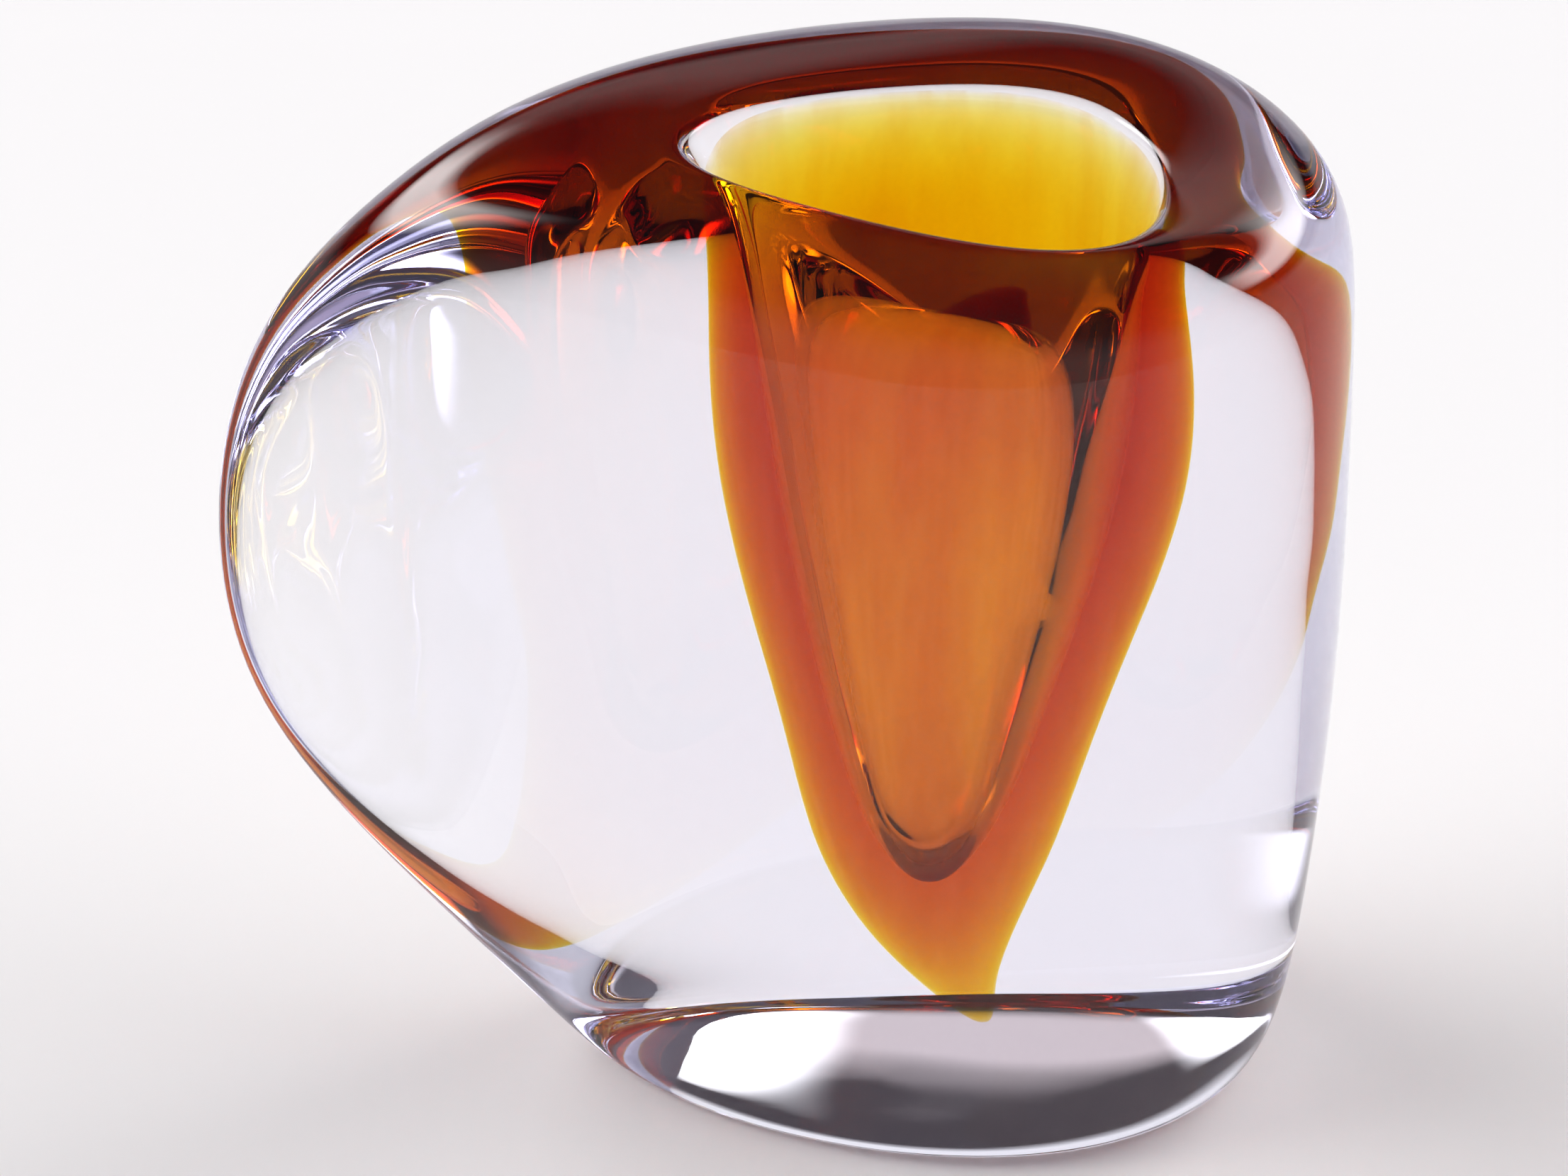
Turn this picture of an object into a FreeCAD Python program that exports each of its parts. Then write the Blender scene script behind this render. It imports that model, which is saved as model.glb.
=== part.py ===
import FreeCAD, Part
import math
import os
from collections import namedtuple

os.makedirs("parts", exist_ok=True)

# A heavy bud vase of clear glass with an amber teardrop core, opened at the top by a flared mouth.
# Millimetres. +Z is up, the origin is the middle of the flat base, the broad front faces -Y.

BODY_LEFT = 81.2          # control ring of the widest bulge, left of the origin
BODY_RIGHT = 48.6         # control ring of the upright right side
BODY_HALF_DEPTH = 27.2    # middle of the broad body, from the middle plane to a face
BASE_HALF_WIDTH = 34.8    # flat contact patch
BASE_HALF_DEPTH = 26.9
CAVITY_FLOOR = 27.3       # bottom of the inside, above the floor
CORE_TIP = 8.0            # lowest point of the amber core, above the floor
CORE_OVERRUN = 126.0      # the core outline runs on above the glass, so that the mouth trims it

POLES_AROUND = 24
DEGREE = 3
# A closed cubic curve runs inside its control points; this factor brings it back out to size.
RING_GROWTH = 3 / (2 + math.cos(2 * math.pi / POLES_AROUND))

# One closed control ring, seen from the front:
#   left, z_left    its left end
#   right, z_right  its right end
#   z_mid           height of the stretch between the ends
#   y_mid           middle plane of the ring, front to back
#   depth           half depth at the middle
#   lean            extra half depth towards the right end, taken off towards the left end
#   swell           extra half depth towards both ends, or less of it where negative
#   tilt            how much the back stands above the middle plane, and the front below it
Ring = namedtuple("Ring", "left z_left right z_right z_mid y_mid depth lean swell tilt")

BODY_OUTSIDE = [
    Ring(-BASE_HALF_WIDTH, 0, BASE_HALF_WIDTH, 0, 0, 0, BASE_HALF_DEPTH, 3.8, 0.8, 0),
    Ring(-38.4, 0, 39.4, 0, 0, 0, 29.8, 5.8, 0.6, 0),
    Ring(-42.8, 3.5, 42.8, 3.5, 3.5, 0, 30.2, 9.2, -1.6, 0),
    Ring(-57.2, 18, 45.2, 18, 18, 0, 28.4, 14.8, -2.6, 0),
    Ring(-77.2, 42, 47.4, 40, 42, 0, 27.2, 17.8, -2.0, 0),
    Ring(-BODY_LEFT, 65, BODY_RIGHT, 64, 66, 0, BODY_HALF_DEPTH, 18.6, -1.8, 0),
    Ring(-78.4, 85, BODY_RIGHT, 86, 88, 0, 26.6, 18.2, -1.0, 1.0),
    Ring(-71.2, 99, BODY_RIGHT, 99.5, 103, 0, 25.6, 15.4, -0.4, 2.8),
    Ring(-61.2, 108.6, 47.6, 108, 111.6, 0, 24.2, 11.9, 1.0, 4.4),
    Ring(-51.4, 115.2, 43.6, 112.6, 115.8, 0, 22.5, 9.0, 1.8, 5.0),
    Ring(-39.0, 118.2, 36.6, 114.4, 117.9, -0.6, 20.2, 8.0, 3.0, 4.4),
]

MOUTH = [
    Ring(-30.0, 118.8, 29.8, 114.4, 117.9, -3.6, 15.8, 8.0, 3.8, 3.3),
    Ring(-26.6, 119.0, 26.8, 114.0, 117.3, -4.8, 13.0, 7.4, 3.6, 2.7),
    Ring(-25.6, 116.8, 25.8, 111.8, 115.1, -4.9, 12.2, 7.0, 3.4, 2.5),
]

CAVITY = [
    Ring(-18.8, 104, 23.0, 100, 103, -3.4, 11.2, 5.2, 2.8, 0.8),
    Ring(-15.2, 88, 21.6, 88, 88, -1.8, 11.0, 2.6, 3.4, 0),
    Ring(-12.6, 70, 18.8, 70, 70, -0.8, 9.6, 1.4, 4.0, 0),
    Ring(-8.2, 50, 13.4, 50, 50, -0.2, 6.8, 0.8, 3.2, 0),
    Ring(-4.2, 34, 9.2, 34, 34, 0, 4.4, 0.4, 2.0, 0),
    Ring(0.6, CAVITY_FLOOR, 4.8, CAVITY_FLOOR, CAVITY_FLOOR, 0, 1.8, 0, 0.6, 0),
    Ring(2.5, CAVITY_FLOOR, 2.9, CAVITY_FLOOR, CAVITY_FLOOR, 0, 0.2, 0, 0, 0),
]

CORE_OUTSIDE = [
    Ring(8.1, CORE_TIP, 8.7, CORE_TIP, CORE_TIP, 0, 0.3, 0, 0, 0),
    Ring(7.4, CORE_TIP, 9.6, CORE_TIP, CORE_TIP, 0, 1.0, 0, 0, 0),
    Ring(2.6, 13, 8.9, 13, 13, 0, 3.2, 0, 0, 0),
    Ring(-4.8, 22, 11.2, 22, 22, 0, 7.0, 0, 0.6, 0),
    Ring(-9.8, 33, 14.8, 33, 33, 0, 10.0, 0.2, 1.4, 0),
    Ring(-12.6, 47, 17.8, 47, 47, 0, 12.0, 0.6, 2.4, 0),
    Ring(-16.6, 62, 22.0, 62, 62, -0.6, 13.8, 0.8, 3.4, 0),
    Ring(-20.4, 78, 26.4, 78, 78, -1.6, 15.4, 1.4, 4.0, 0),
    Ring(-21.8, 92, 27.0, 92, 92, -3.0, 18.8, 2.0, 3.4, 0),
    Ring(-22.4, 103, 26.6, 100, 102.5, -4.5, 19.4, 3.6, 2.6, 0.6),
    Ring(-24.6, 112, 26.6, 108, 111, -4.8, 15.4, 6.6, 3.0, 1.8),
    Ring(-25.4, CORE_OVERRUN, 25.4, CORE_OVERRUN, CORE_OVERRUN, -5.3, 10.4, 6.0, 2.8, 0),
]


def control_point(ring, angle):
    across = math.cos(angle)
    through = math.sin(angle)
    half_depth = ring.depth + ring.lean * across + ring.swell * across ** 2
    x = (ring.left + ring.right) / 2 + (ring.right - ring.left) / 2 * across * RING_GROWTH
    y = ring.y_mid + through * half_depth * RING_GROWTH
    z_ends = (ring.z_left + ring.z_right) / 2
    arch = (ring.z_mid - z_ends) * (1 - across ** 4)
    z = z_ends + (ring.z_right - ring.z_left) / 2 * across + arch + ring.tilt * through
    return FreeCAD.Vector(x, y, z)


def half_wall(rings, first, last):
    """The smooth wall led by the rings, from one control point around to another."""
    angles = [2 * math.pi * i / POLES_AROUND for i in range(POLES_AROUND)]
    poles = [[control_point(ring, angle) for ring in rings] for angle in angles]
    around = list(range(POLES_AROUND + 1))
    along = list(range(len(rings) - DEGREE + 1))
    clamped = [DEGREE + 1] + [1] * (len(along) - 2) + [DEGREE + 1]
    surface = Part.BSplineSurface()
    surface.buildFromPolesMultsKnots(
        poles, [1] * len(around), clamped, around, along, True, False, DEGREE, DEGREE)
    surface.segment(first, last, along[0], along[-1])
    return surface


def flat_end(halves, position):
    return Part.Face(Part.Wire([half.vIso(position).toShape() for half in halves]))


def solid_within(rings):
    """The back and the front of the wall, closed by a flat face at the first and the last ring."""
    seam = POLES_AROUND // 2
    halves = [half_wall(rings, 0, seam), half_wall(rings, seam, POLES_AROUND)]
    ends = [flat_end(halves, 0), flat_end(halves, len(rings) - DEGREE)]
    shell = Part.makeShell([half.toShape() for half in halves] + ends)
    shell.sewShape()
    solid = Part.Solid(shell.Shells[0])
    if solid.Volume < 0:
        solid.reverse()
    return solid


glass = solid_within(BODY_OUTSIDE + MOUTH + CAVITY)
core_outline = solid_within(CORE_OUTSIDE)

clear_glass_casing = glass.cut(core_outline).Solids[0]
amber_glass_core = glass.common(core_outline).Solids[0]

clear_glass_casing.exportStep("parts/clear_glass_casing.step")
amber_glass_core.exportStep("parts/amber_glass_core.step")
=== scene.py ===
import math
from collections import namedtuple

import bpy
import numpy as np
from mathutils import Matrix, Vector


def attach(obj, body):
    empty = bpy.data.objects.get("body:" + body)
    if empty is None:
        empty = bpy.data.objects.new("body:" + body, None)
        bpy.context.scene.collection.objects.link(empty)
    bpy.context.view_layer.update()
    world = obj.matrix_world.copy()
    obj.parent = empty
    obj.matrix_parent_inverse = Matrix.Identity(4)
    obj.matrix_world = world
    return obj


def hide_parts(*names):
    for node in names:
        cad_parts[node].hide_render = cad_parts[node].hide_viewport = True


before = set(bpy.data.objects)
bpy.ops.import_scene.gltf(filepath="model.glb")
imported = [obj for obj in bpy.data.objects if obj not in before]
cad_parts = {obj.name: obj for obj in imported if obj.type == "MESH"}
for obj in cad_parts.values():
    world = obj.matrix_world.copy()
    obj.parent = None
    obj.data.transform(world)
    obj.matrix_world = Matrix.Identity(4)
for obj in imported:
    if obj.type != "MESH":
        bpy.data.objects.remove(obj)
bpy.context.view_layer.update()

# A heavy bud vase of clear glass with an amber teardrop core, in metres, on a pale studio floor.
# +Z is up, the origin is the middle of the base, and the broad front faces -Y.

MM = 0.001

# ---------------------------------------------------------------- shape, in millimetres

CURVE_DEGREE = 3
POLES_AROUND = 24
# A closed cubic curve runs inside its poles, so the poles are set out by this much.
RING_GROWTH = 3 / (2 + math.cos(2 * math.pi / POLES_AROUND))
STEPS_AROUND = 192
STEPS_ALONG = 10          # for each span between two knots
CAVITY_FLOOR = 27.3
CORE_TIP = 8.0
CORE_OVERRUN = 126.0      # the core's wall is drawn up past the mouth, and cut off there
CUTTER_OVERRUN = 31.5     # the air that cuts the core goes on this far above the lip
FILM_GAP = 0.06           # the core stays this far inside the glass, so that no two skins coincide

# One closed control ring, as in the design: its ends, their heights, the height between them,
# its middle plane, half depth, lean to the right, swell at both ends, and tilt to the back.
Ring = namedtuple("Ring", "left z_left right z_right z_mid y_mid depth lean swell tilt")

BODY_OUTSIDE = [
    Ring(-34.8, 0, 34.8, 0, 0, 0, 26.9, 3.8, 0.8, 0),
    Ring(-38.4, 0, 39.4, 0, 0, 0, 29.8, 5.8, 0.6, 0),
    Ring(-42.8, 3.5, 42.8, 3.5, 3.5, 0, 30.2, 9.2, -1.6, 0),
    Ring(-57.2, 18, 45.2, 18, 18, 0, 28.4, 14.8, -2.6, 0),
    Ring(-77.2, 42, 47.4, 40, 42, 0, 27.2, 17.8, -2.0, 0),
    Ring(-81.2, 65, 48.6, 64, 66, 0, 27.2, 18.6, -1.8, 0),
    Ring(-78.4, 85, 48.6, 86, 88, 0, 26.6, 18.2, -1.0, 1.0),
    Ring(-71.2, 99, 48.6, 99.5, 103, 0, 25.6, 15.4, -0.4, 2.8),
    Ring(-61.2, 108.6, 47.6, 108, 111.6, 0, 24.2, 11.9, 1.0, 4.4),
    Ring(-51.4, 115.2, 43.6, 112.6, 115.8, 0, 22.5, 9.0, 1.8, 5.0),
    Ring(-39.0, 118.2, 36.6, 114.4, 117.9, -0.6, 20.2, 8.0, 3.0, 4.4),
]

MOUTH = [
    Ring(-30.0, 118.8, 29.8, 114.4, 117.9, -3.6, 15.8, 8.0, 3.8, 3.3),
    Ring(-26.6, 119.0, 26.8, 114.0, 117.3, -4.8, 13.0, 7.4, 3.6, 2.7),
    Ring(-25.6, 116.8, 25.8, 111.8, 115.1, -4.9, 12.2, 7.0, 3.4, 2.5),
]

CAVITY = [
    Ring(-18.8, 104, 23.0, 100, 103, -3.4, 11.2, 5.2, 2.8, 0.8),
    Ring(-15.2, 88, 21.6, 88, 88, -1.8, 11.0, 2.6, 3.4, 0),
    Ring(-12.6, 70, 18.8, 70, 70, -0.8, 9.6, 1.4, 4.0, 0),
    Ring(-8.2, 50, 13.4, 50, 50, -0.2, 6.8, 0.8, 3.2, 0),
    Ring(-4.2, 34, 9.2, 34, 34, 0, 4.4, 0.4, 2.0, 0),
    Ring(0.6, CAVITY_FLOOR, 4.8, CAVITY_FLOOR, CAVITY_FLOOR, 0, 1.8, 0, 0.6, 0),
    Ring(2.5, CAVITY_FLOOR, 2.9, CAVITY_FLOOR, CAVITY_FLOOR, 0, 0.2, 0, 0, 0),
]

CORE_OUTSIDE = [
    Ring(8.1, CORE_TIP, 8.7, CORE_TIP, CORE_TIP, 0, 0.3, 0, 0, 0),
    Ring(7.4, CORE_TIP, 9.6, CORE_TIP, CORE_TIP, 0, 1.0, 0, 0, 0),
    Ring(2.6, 13, 8.9, 13, 13, 0, 3.2, 0, 0, 0),
    Ring(-4.8, 22, 11.2, 22, 22, 0, 7.0, 0, 0.6, 0),
    Ring(-9.8, 33, 14.8, 33, 33, 0, 10.0, 0.2, 1.4, 0),
    Ring(-12.6, 47, 17.8, 47, 47, 0, 12.0, 0.6, 2.4, 0),
    Ring(-16.6, 62, 22.0, 62, 62, -0.6, 13.8, 0.8, 3.4, 0),
    Ring(-20.4, 78, 26.4, 78, 78, -1.6, 15.4, 1.4, 4.0, 0),
    Ring(-21.8, 92, 27.0, 92, 92, -3.0, 18.8, 2.0, 3.4, 0),
    Ring(-22.4, 103, 26.6, 100, 102.5, -4.5, 19.4, 3.6, 2.6, 0.6),
    Ring(-24.6, 112, 26.6, 108, 111, -4.8, 15.4, 6.6, 3.0, 1.8),
    Ring(-25.4, CORE_OVERRUN, 25.4, CORE_OVERRUN, CORE_OVERRUN, -5.3, 10.4, 6.0, 2.8, 0),
]


# The crest of the lip, in spans along the wall: halfway from the body's rings to the mouth's.
LIP_SPANS = len(BODY_OUTSIDE) - 1.5


def control_points(ring):
    """The poles of one ring, counter-clockwise from its right end."""
    angle = np.arange(POLES_AROUND) * 2 * math.pi / POLES_AROUND
    across = np.cos(angle)
    through = np.sin(angle)
    half_depth = ring.depth + ring.lean * across + ring.swell * across ** 2
    x = (ring.left + ring.right) / 2 + (ring.right - ring.left) / 2 * across * RING_GROWTH
    y = ring.y_mid + through * half_depth * RING_GROWTH
    z_ends = (ring.z_left + ring.z_right) / 2
    arch = (ring.z_mid - z_ends) * (1 - across ** 4)
    z = z_ends + (ring.z_right - ring.z_left) / 2 * across + arch + ring.tilt * through
    return np.stack([x, y, z], axis=-1)


def cubic_weights(knots, position):
    """The weights of a cubic B-spline's control points at one position, by de Boor's recursion."""
    count = len(knots) - CURVE_DEGREE - 1
    span = min(int(np.searchsorted(knots, position, side="right")) - 1, count - 1)
    weights = np.zeros(count)
    local = [1.0]
    for degree in range(1, CURVE_DEGREE + 1):
        raised = [0.0] * (degree + 1)
        for i, weight in enumerate(local):
            low = knots[span - degree + 1 + i]
            high = knots[span + 1 + i]
            share = (position - low) / (high - low)
            raised[i] += weight * (1 - share)
            raised[i + 1] += weight * share
        local = raised
    weights[span - CURVE_DEGREE:span + 1] = local
    return weights


def weights_along(count):
    """For an open wall led by count rings, which starts at the first and ends at the last."""
    spans = count - CURVE_DEGREE
    start, end = [0] * CURVE_DEGREE, [spans] * CURVE_DEGREE
    knots = np.concatenate([start, np.arange(spans + 1), end]).astype(float)
    positions = np.linspace(0, spans, spans * STEPS_ALONG + 1)
    return np.array([cubic_weights(knots, position) for position in positions])


def weights_around():
    """For a closed ring, whose last poles are its first ones again."""
    knots = np.arange(-CURVE_DEGREE, POLES_AROUND + CURVE_DEGREE + 1).astype(float)
    positions = np.arange(STEPS_AROUND) * POLES_AROUND / STEPS_AROUND
    rows = np.array([cubic_weights(knots, position) for position in positions])
    rows[:, :CURVE_DEGREE] += rows[:, POLES_AROUND:]
    return rows[:, :POLES_AROUND]


def smooth_wall(rings):
    """Points of the wall led by the rings, as rows along the wall and columns around it."""
    poles = np.stack([control_points(ring) for ring in rings])
    return np.einsum("ai,bj,ijk->abk", weights_along(len(rings)), weights_around(), poles)


def closed_mesh(name, wall):
    """A closed mesh over the rows of a wall, with a point in the middle of its two ends."""
    rows, columns, _ = wall.shape
    points = np.concatenate([wall.reshape(-1, 3), [wall[0].mean(axis=0)], [wall[-1].mean(axis=0)]])
    first_middle = rows * columns
    last_middle = first_middle + 1
    last_row = (rows - 1) * columns
    faces = []
    for j in range(columns):
        k = (j + 1) % columns
        faces += [(i * columns + j, i * columns + k, (i + 1) * columns + k, (i + 1) * columns + j)
                  for i in range(rows - 1)]
        faces.append((first_middle, k, j))
        faces.append((last_middle, last_row + j, last_row + k))
    mesh = bpy.data.meshes.new(name)
    mesh.from_pydata((points * MM).tolist(), [], faces)
    mesh.shade_smooth()
    piece = bpy.data.objects.new(name, mesh)
    bpy.context.scene.collection.objects.link(piece)
    return piece


def cavity_cutter(glass_wall):
    """The air inside the vase, a film larger than the cavity and open far above the mouth."""
    lip_row = int(LIP_SPANS * STEPS_ALONG)
    inside = glass_wall[lip_row:].copy()
    outward = inside - inside.mean(axis=1, keepdims=True)
    outward[..., 2] = 0
    length = np.linalg.norm(outward, axis=2, keepdims=True)
    inside += outward / np.maximum(length, FILM_GAP) * FILM_GAP
    inside[-1, :, 2] -= FILM_GAP
    above = inside[0].copy()
    above[:, 2] += CUTTER_OVERRUN
    upwards = np.concatenate([above[None], inside])[::-1]
    return closed_mesh("cavity_cutter", upwards)


def trimmed(piece, cutter):
    """The piece with the cutter's volume taken off, as plain mesh."""
    cut = piece.modifiers.new("cut", "BOOLEAN")
    cut.operation = "DIFFERENCE"
    cut.solver = "EXACT"
    cut.object = cutter
    evaluated = piece.evaluated_get(bpy.context.evaluated_depsgraph_get())
    mesh = bpy.data.meshes.new_from_object(evaluated)
    piece.modifiers.clear()
    piece.data = mesh
    mesh.shade_smooth()
    bpy.data.objects.remove(cutter)
    return piece


# ---------------------------------------------------------------- materials

BLACK = (0, 0, 0)
WHITE = (1, 1, 1)

# Stretches are noise features per metre along X, Y and Z. Densities are per metre of path.
GLASS_IOR = 1.5
GLASS_TINT, GLASS_DENSITY = (0.964, 0.963, 0.988), 60
WAVE_STRETCH, WAVE_DETAIL = (26, 26, 34), 1
WAVE_HEIGHT = 0.0004
SCUFF_STRETCH, SCUFF_DETAIL = (260, 900, 260), 4
SCUFF_NOISE = (0.35, 0.7)
SCUFF_ROUGHNESS = (0.0, 0.045)
SCUFFED_TO, POLISHED_FROM = 0.0002, 0.001      # heights above the table
AMBER_IOR = 1.0                                # the core bends no light: it lies in the same glass
AMBER_TINT, AMBER_DENSITY = (0.977, 0.872, 0.0), 1050
STREAK_STRETCH, STREAK_DETAIL = (170, 170, 22), 3
STREAK_PALE = (0.40, (1.0, 1.0, 0.98))
STREAK_DEEP = (0.60, (0.95, 0.83, 0.60))
FLOOR_COLOUR = (0.86, 0.86, 0.86)
FLOOR_ROUGHNESS = 0.9


def new_material(name):
    material = bpy.data.materials.new(name)
    material.use_nodes = True
    nodes = material.node_tree.nodes
    nodes.clear()
    output = nodes.new("ShaderNodeOutputMaterial")
    shader = nodes.new("ShaderNodeBsdfPrincipled")
    material.node_tree.links.new(shader.outputs["BSDF"], output.inputs["Surface"])
    return material, shader, output


def add_absorption(material, output, colour, density):
    absorption = material.node_tree.nodes.new("ShaderNodeVolumeAbsorption")
    absorption.inputs["Color"].default_value = (*colour, 1)
    absorption.inputs["Density"].default_value = density
    material.node_tree.links.new(absorption.outputs["Volume"], output.inputs["Volume"])


def add_noise(material, stretch, detail):
    """Noise in the piece's own space."""
    nodes = material.node_tree.nodes
    links = material.node_tree.links
    place = nodes.new("ShaderNodeTexCoord")
    scale = nodes.new("ShaderNodeMapping")
    scale.inputs["Scale"].default_value = stretch
    noise = nodes.new("ShaderNodeTexNoise")
    noise.inputs["Scale"].default_value = 1
    noise.inputs["Detail"].default_value = detail
    links.new(place.outputs["Object"], scale.inputs["Vector"])
    links.new(scale.outputs["Vector"], noise.inputs["Vector"])
    return noise.outputs["Fac"]


def add_map_range(material, value, source, target):
    change = material.node_tree.nodes.new("ShaderNodeMapRange")
    change.inputs["From Min"].default_value, change.inputs["From Max"].default_value = source
    change.inputs["To Min"].default_value, change.inputs["To Max"].default_value = target
    material.node_tree.links.new(value, change.inputs["Value"])
    return change.outputs["Result"]


def multiply(material, first, second):
    product = material.node_tree.nodes.new("ShaderNodeMath")
    product.operation = "MULTIPLY"
    material.node_tree.links.new(first, product.inputs[0])
    material.node_tree.links.new(second, product.inputs[1])
    return product.outputs["Value"]


def add_hand_worked_waves(material, shader):
    links = material.node_tree.links
    bump = material.node_tree.nodes.new("ShaderNodeBump")
    bump.inputs["Strength"].default_value = 1
    bump.inputs["Distance"].default_value = WAVE_HEIGHT
    links.new(add_noise(material, WAVE_STRETCH, WAVE_DETAIL), bump.inputs["Height"])
    links.new(bump.outputs["Normal"], shader.inputs["Normal"])


def add_worn_base(material, shader):
    """A scuffed contact face, and polished glass from a millimetre above it."""
    nodes = material.node_tree.nodes
    links = material.node_tree.links
    place = nodes.new("ShaderNodeTexCoord")
    split = nodes.new("ShaderNodeSeparateXYZ")
    links.new(place.outputs["Object"], split.inputs["Vector"])
    heights = (SCUFFED_TO, POLISHED_FROM)
    near_floor = add_map_range(material, split.outputs["Z"], heights, (1, 0))
    noise = add_noise(material, SCUFF_STRETCH, SCUFF_DETAIL)
    scuffs = add_map_range(material, noise, SCUFF_NOISE, SCUFF_ROUGHNESS)
    links.new(multiply(material, near_floor, scuffs), shader.inputs["Roughness"])


def clear_glass():
    material, shader, output = new_material("clear_glass")
    shader.inputs["Base Color"].default_value = (*WHITE, 1)
    shader.inputs["Transmission Weight"].default_value = 1
    shader.inputs["IOR"].default_value = GLASS_IOR
    add_worn_base(material, shader)
    add_hand_worked_waves(material, shader)
    add_absorption(material, output, GLASS_TINT, GLASS_DENSITY)
    return material


def amber_glass():
    material, shader, output = new_material("amber_glass")
    links = material.node_tree.links
    shader.inputs["Transmission Weight"].default_value = 1
    shader.inputs["Roughness"].default_value = 0
    shader.inputs["IOR"].default_value = AMBER_IOR
    streaks = material.node_tree.nodes.new("ShaderNodeValToRGB")
    for stop, (position, colour) in zip(streaks.color_ramp.elements, (STREAK_PALE, STREAK_DEEP)):
        stop.position, stop.color = position, (*colour, 1)
    links.new(add_noise(material, STREAK_STRETCH, STREAK_DETAIL), streaks.inputs["Fac"])
    links.new(streaks.outputs["Color"], shader.inputs["Base Color"])
    add_absorption(material, output, AMBER_TINT, AMBER_DENSITY)
    return material


def pale_floor():
    material, shader, _ = new_material("pale_floor")
    shader.inputs["Base Color"].default_value = (*FLOOR_COLOUR, 1)
    shader.inputs["Roughness"].default_value = FLOOR_ROUGHNESS
    return material


# ---------------------------------------------------------------- the vase

glass_wall = smooth_wall(BODY_OUTSIDE + MOUTH + CAVITY)
glass = closed_mesh("clear_glass_body", glass_wall)
glass.data.materials.append(clear_glass())
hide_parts("clear_glass_casing")
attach(glass, "root")

core = trimmed(closed_mesh("amber_core", smooth_wall(CORE_OUTSIDE)), cavity_cutter(glass_wall))
core.data.materials.append(amber_glass())
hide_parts("amber_glass_core")
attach(core, "root")

# ---------------------------------------------------------------- studio

FLOOR_REACH = 3.0
FLOOR_DROP = 0.0005       # keeps the floor's face and the flat base apart


def make_floor():
    mesh = bpy.data.meshes.new("studio_floor")
    signs = [(-1, -1), (1, -1), (1, 1), (-1, 1)]
    corners = [(x * FLOOR_REACH, y * FLOOR_REACH, -FLOOR_DROP) for x, y in signs]
    mesh.from_pydata(corners, [], [(0, 1, 2, 3)])
    mesh.materials.append(pale_floor())
    floor = bpy.data.objects.new("studio_floor", mesh)
    bpy.context.scene.collection.objects.link(floor)


# Each band is the sine of an elevation, and the sky's colour there.
SKY_BEHIND = [
    (0.28, (1.00, 1.00, 1.03)),
    (0.38, (0.05, 0.04, 0.05)),
    (0.51, (0.05, 0.04, 0.05)),
    (0.57, (0.74, 0.65, 0.66)),
    (0.66, (0.74, 0.65, 0.66)),
    (0.76, (0.06, 0.05, 0.06)),
]
SKY_IN_FRONT = [
    (0.10, (0.55, 0.55, 0.57)),
    (0.30, (0.16, 0.15, 0.17)),
    (0.60, (0.08, 0.07, 0.09)),
]
ALL_IN_FRONT, ALL_BEHIND = -0.6, 0.2      # along Y, between which one sky fades into the other

# Two soft strip lights, one on each side: the way to the heart of each, and its strength.
STRIP_LIGHTS = [((-0.82, 0.20, 0.53), 10.2), ((0.80, 0.28, 0.53), 8.6)]
STRIP_END = math.cos(math.radians(42))
STRIP_HEART = math.cos(math.radians(12))
STRIP_HEIGHTS = [(0.46, BLACK), (0.53, WHITE), (0.66, WHITE), (0.73, BLACK)]


def sky_ramp(nodes, bands):
    ramp = nodes.new("ShaderNodeValToRGB")
    stops = ramp.color_ramp.elements
    stops[0].position, stops[1].position = bands[0][0], bands[1][0]
    for position, _ in bands[2:]:
        stops.new(position)
    for stop, (_, colour) in zip(stops, bands):
        stop.color = (*colour, 1)
    return ramp


def strip_light(nodes, links, view, heights, towards, strength):
    """A soft strip of light, far away in one direction, between two heights."""
    closeness = nodes.new("ShaderNodeVectorMath")
    closeness.operation = "DOT_PRODUCT"
    closeness.inputs[1].default_value = Vector(towards).normalized()
    fade = nodes.new("ShaderNodeMapRange")
    fade.interpolation_type = "SMOOTHSTEP"
    fade.inputs["From Min"].default_value = STRIP_END
    fade.inputs["From Max"].default_value = STRIP_HEART
    fade.inputs["To Max"].default_value = strength
    glow = nodes.new("ShaderNodeBackground")
    links.new(view, closeness.inputs[0])
    links.new(closeness.outputs["Value"], fade.inputs["Value"])
    links.new(heights, glow.inputs["Color"])
    links.new(fade.outputs["Result"], glow.inputs["Strength"])
    return glow.outputs["Background"]


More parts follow.
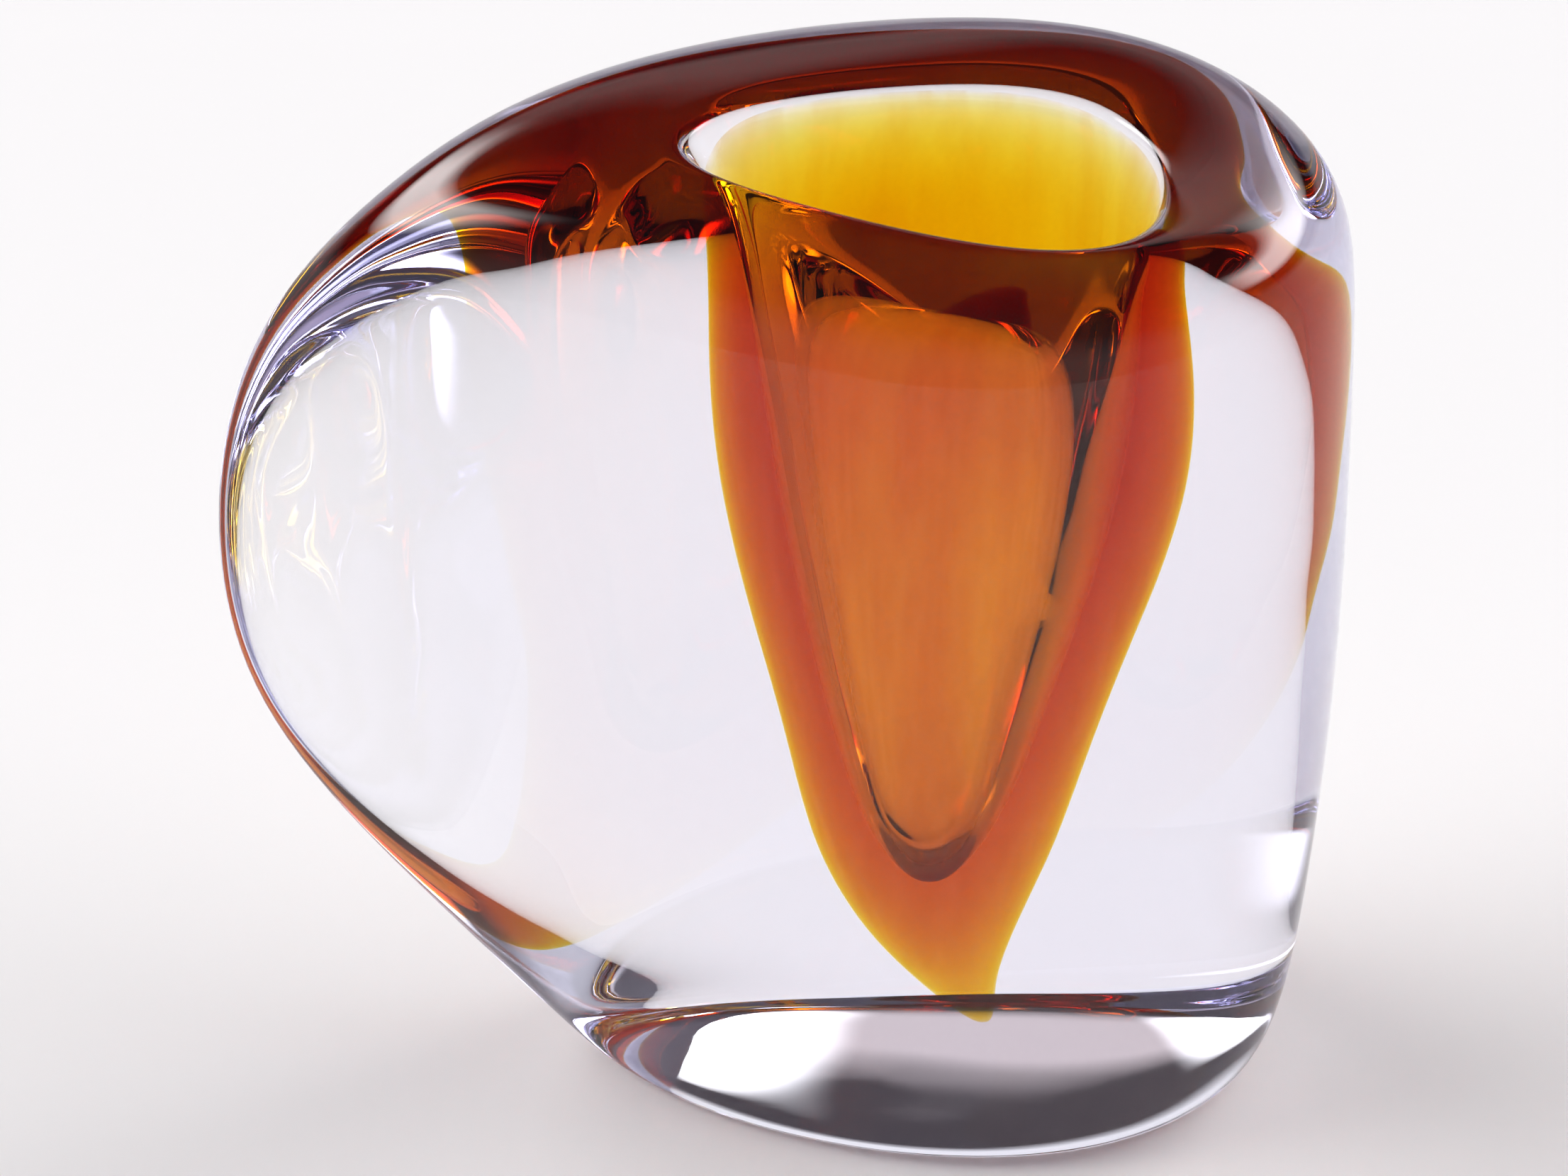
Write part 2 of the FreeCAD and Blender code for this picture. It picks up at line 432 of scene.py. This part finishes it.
def make_sky():
    world = bpy.data.worlds.new("studio")
    world.use_nodes = True
    bpy.context.scene.world = world
    nodes = world.node_tree.nodes
    links = world.node_tree.links
    nodes.clear()
    output = nodes.new("ShaderNodeOutputWorld")
    background = nodes.new("ShaderNodeBackground")
    direction = nodes.new("ShaderNodeTexCoord")
    split = nodes.new("ShaderNodeSeparateXYZ")
    links.new(direction.outputs["Generated"], split.inputs["Vector"])
    behind = sky_ramp(nodes, SKY_BEHIND)
    in_front = sky_ramp(nodes, SKY_IN_FRONT)
    links.new(split.outputs["Z"], behind.inputs["Fac"])
    links.new(split.outputs["Z"], in_front.inputs["Fac"])
    turn = nodes.new("ShaderNodeMapRange")
    turn.interpolation_type = "SMOOTHSTEP"
    turn.inputs["From Min"].default_value = ALL_IN_FRONT
    turn.inputs["From Max"].default_value = ALL_BEHIND
    links.new(split.outputs["Y"], turn.inputs["Value"])
    mix = nodes.new("ShaderNodeMix")
    mix.data_type = "RGBA"
    links.new(turn.outputs["Result"], mix.inputs["Factor"])
    links.new(in_front.outputs["Color"], mix.inputs["A"])
    links.new(behind.outputs["Color"], mix.inputs["B"])
    links.new(mix.outputs["Result"], background.inputs["Color"])
    strip_heights = sky_ramp(nodes, STRIP_HEIGHTS)
    links.new(split.outputs["Z"], strip_heights.inputs["Fac"])
    view = direction.outputs["Generated"]
    total = background.outputs["Background"]
    for towards, strength in STRIP_LIGHTS:
        strip = strip_light(nodes, links, view, strip_heights.outputs["Color"], towards, strength)
        both = nodes.new("ShaderNodeAddShader")
        links.new(total, both.inputs[0])
        links.new(strip, both.inputs[1])
        total = both.outputs["Shader"]
    links.new(total, output.inputs["Surface"])


CAMERA_ELEVATION = math.radians(30)
CAMERA_DISTANCE = 0.95
NEAR_CLIP = 0.01
SENSOR = 36.0
FRAME_WIDTH = 0.1797                      # width of the picture at the vase, in metres
AIM = Vector((-0.0156, 0, 0.0592))        # the middle of the picture, on the vase's middle plane


def make_camera():
    lens = bpy.data.cameras.new("camera")
    lens.sensor_width = SENSOR
    lens.lens = SENSOR * CAMERA_DISTANCE / FRAME_WIDTH
    lens.clip_start = NEAR_CLIP
    camera = bpy.data.objects.new("camera", lens)
    bpy.context.scene.collection.objects.link(camera)
    towards_camera = Vector((0, -math.cos(CAMERA_ELEVATION), math.sin(CAMERA_ELEVATION)))
    camera.location = AIM + towards_camera * CAMERA_DISTANCE
    camera.rotation_euler = (-towards_camera).to_track_quat("-Z", "Y").to_euler()
    bpy.context.scene.camera = camera


make_floor()
make_sky()
make_camera()

GLASS_BOUNCES = 24        # light goes through many walls before it leaves the glass
GLOSSY_BOUNCES = 16
CLEAR_BOUNCES = 32

scene = bpy.context.scene
scene.view_settings.view_transform = "Standard"
# With normals as a guide, the denoiser draws a dotted grain on the wavy glass.
scene.cycles.denoising_input_passes = "RGB_ALBEDO"
scene.cycles.max_bounces = GLASS_BOUNCES
scene.cycles.transmission_bounces = GLASS_BOUNCES
scene.cycles.glossy_bounces = GLOSSY_BOUNCES
scene.cycles.transparent_max_bounces = CLEAR_BOUNCES
